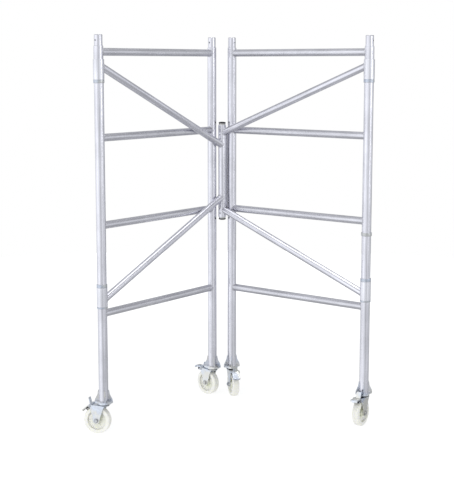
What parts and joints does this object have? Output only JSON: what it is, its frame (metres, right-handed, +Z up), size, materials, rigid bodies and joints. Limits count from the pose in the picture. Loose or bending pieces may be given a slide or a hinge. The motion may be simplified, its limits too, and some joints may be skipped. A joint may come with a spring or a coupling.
{
  "type": "folding mobile scaffold base unit",
  "caption": "Folding rolling scaffold base: two ladder frames joined by a hinged diagonal brace on swivel sleeves, standing on braked swivel casters, shown half folded.",
  "frame": {"origin": "on the floor at the middle of the footprint, half folded", "axes": "+Z up, -Y towards the open side of the V, +X to the right seen from there"},
  "size_m": [1.5643, 0.8485, 2.083],
  "materials": {
    "upright_alloy": "bright drawn tube, satin, with bright streaks along it",
    "rung_alloy": "drawn tube, satin",
    "brace_alloy": "drawn tube, satin",
    "sleeve_alloy": "pale satin",
    "ring_steel": "zinc plated, dull",
    "foot_alloy": "cast and welded, grey",
    "fork_zinc": "blue-bright zinc plate",
    "pedal_zinc": "zinc plate, worn on the tread",
    "fastener_zinc": "zinc plate",
    "wheel_nylon": "ivory nylon, slightly dirty on the tread",
    "black_rubber": "matt black",
    "black_plastic": "moulded black"
  },
  "bodies": {
    "left_brace": {"left_upper_sleeve": "sleeve_alloy", "left_lower_sleeve": "sleeve_alloy", "left_upper_diagonal": "brace_alloy", "left_lower_diagonal": "brace_alloy", "hinge_middle_knuckle": "brace_alloy"},
    "right_brace": {"right_upper_sleeve": "sleeve_alloy", "right_lower_sleeve": "sleeve_alloy", "right_upper_diagonal": "brace_alloy", "right_lower_diagonal": "brace_alloy", "hinge_top_knuckle": "brace_alloy", "hinge_bottom_knuckle": "brace_alloy", "hinge_strut": "brace_alloy", "hinge_pin": "fastener_zinc", "hinge_caps": "black_plastic"},
    "left_frame": {"left_outer_upright": "upright_alloy", "left_inner_upright": "upright_alloy", "left_rung_1": "rung_alloy", "left_rung_2": "rung_alloy", "left_rung_3": "rung_alloy", "left_rung_4": "rung_alloy", "left_spigots": "upright_alloy", "left_rings": "ring_steel", "left_outer_foot": "foot_alloy", "left_inner_foot": "foot_alloy", "left_foot_bolts": "fastener_zinc", "left_outer_caster_plate": "fork_zinc", "left_inner_caster_plate": "fork_zinc"},
    "right_frame": {"right_outer_upright": "upright_alloy", "right_inner_upright": "upright_alloy", "right_rung_1": "rung_alloy", "right_rung_2": "rung_alloy", "right_rung_3": "rung_alloy", "right_rung_4": "rung_alloy", "right_spigots": "upright_alloy", "right_rings": "ring_steel", "right_outer_foot": "foot_alloy", "right_inner_foot": "foot_alloy", "right_foot_bolts": "fastener_zinc", "right_outer_caster_plate": "fork_zinc", "right_inner_caster_plate": "fork_zinc"},
    "left_outer_caster": {"left_outer_fork": "fork_zinc", "left_outer_axle": "fastener_zinc"},
    "left_outer_wheel": {"left_outer_wheel": "wheel_nylon"},
    "left_outer_pedal": {"left_outer_pedal": "pedal_zinc", "left_outer_brake_block": "black_rubber"},
    "left_inner_caster": {"left_inner_fork": "fork_zinc", "left_inner_axle": "fastener_zinc"},
    "left_inner_wheel": {"left_inner_wheel": "wheel_nylon"},
    "left_inner_pedal": {"left_inner_pedal": "pedal_zinc", "left_inner_brake_block": "black_rubber"},
    "right_inner_caster": {"right_inner_fork": "fork_zinc", "right_inner_axle": "fastener_zinc"},
    "right_inner_wheel": {"right_inner_wheel": "wheel_nylon"},
    "right_inner_pedal": {"right_inner_pedal": "pedal_zinc", "right_inner_brake_block": "black_rubber"},
    "right_outer_caster": {"right_outer_fork": "fork_zinc", "right_outer_axle": "fastener_zinc"},
    "right_outer_wheel": {"right_outer_wheel": "wheel_nylon"},
    "right_outer_pedal": {"right_outer_pedal": "pedal_zinc", "right_outer_brake_block": "black_rubber"}
  },
  "joints": [
    {"name": "brace_hinge", "type": "hinge", "parent": "left_brace", "child": "right_brace", "pos_m": [0.041, 0.30183, 1.326], "axis": [0, 0, 1], "range_deg": [-86, 82.8]},
    {"name": "left_frame_swing", "type": "hinge", "parent": "left_brace", "child": "left_frame", "pos_m": [-0.65885, -0.31517, 1.326], "axis": [0, 0, 1], "range_deg": [0, 86.94]},
    {"name": "right_frame_swing", "type": "hinge", "parent": "right_brace", "child": "right_frame", "pos_m": [0.74085, -0.31517, 1.326], "axis": [0, 0, -1], "range_deg": [0, 86.94]},
    {"name": "left_outer_swivel", "type": "hinge", "parent": "left_frame", "child": "left_outer_caster", "pos_m": [-0.65885, -0.31517, 0.166], "axis": [0, 0, 1], "continuous": true},
    {"name": "left_outer_wheel_spin", "type": "hinge", "parent": "left_outer_caster", "child": "left_outer_wheel", "pos_m": [-0.69107, -0.30149, 0.0725], "axis": [-0.3907, -0.9205, 0], "continuous": true},
    {"name": "left_outer_brake", "type": "hinge", "parent": "left_outer_caster", "child": "left_outer_pedal", "pos_m": [-0.72329, -0.28782, 0.15], "axis": [-0.3907, -0.9205, 0], "range_deg": [-38, 0]},
    {"name": "left_inner_swivel", "type": "hinge", "parent": "left_frame", "child": "left_inner_caster", "pos_m": [-0.01646, 0.31517, 0.166], "axis": [0, 0, 1], "range_deg": [-90, 170]},
    {"name": "left_inner_wheel_spin", "type": "hinge", "parent": "left_inner_caster", "child": "left_inner_wheel", "pos_m": [-0.03896, 0.34198, 0.0725], "axis": [-0.766, -0.6428, 0], "continuous": true},
    {"name": "left_inner_brake", "type": "hinge", "parent": "left_inner_caster", "child": "left_inner_pedal", "pos_m": [-0.06145, 0.36879, 0.15], "axis": [-0.766, -0.6428, 0], "range_deg": [0, 38]},
    {"name": "right_inner_swivel", "type": "hinge", "parent": "right_frame", "child": "right_inner_caster", "pos_m": [0.09846, 0.31517, 0.166], "axis": [0, 0, 1], "range_deg": [-15, 215]},
    {"name": "right_inner_wheel_spin", "type": "hinge", "parent": "right_inner_caster", "child": "right_inner_wheel", "pos_m": [0.10333, 0.28051, 0.0725], "axis": [0.9903, 0.1392, 0], "continuous": true},
    {"name": "right_inner_brake", "type": "hinge", "parent": "right_inner_caster", "child": "right_inner_pedal", "pos_m": [0.1082, 0.24585, 0.15], "axis": [0.9903, 0.1392, 0], "range_deg": [-38, 0]},
    {"name": "right_outer_swivel", "type": "hinge", "parent": "right_frame", "child": "right_outer_caster", "pos_m": [0.74085, -0.31517, 0.166], "axis": [0, 0, 1], "continuous": true},
    {"name": "right_outer_wheel_spin", "type": "hinge", "parent": "right_outer_caster", "child": "right_outer_wheel", "pos_m": [0.71883, -0.34237, 0.0725], "axis": [0.7771, -0.6293, 0], "continuous": true},
    {"name": "right_outer_brake", "type": "hinge", "parent": "right_outer_caster", "child": "right_outer_pedal", "pos_m": [0.6968, -0.36957, 0.15], "axis": [0.7771, -0.6293, 0], "range_deg": [0, 38]}
  ]
}
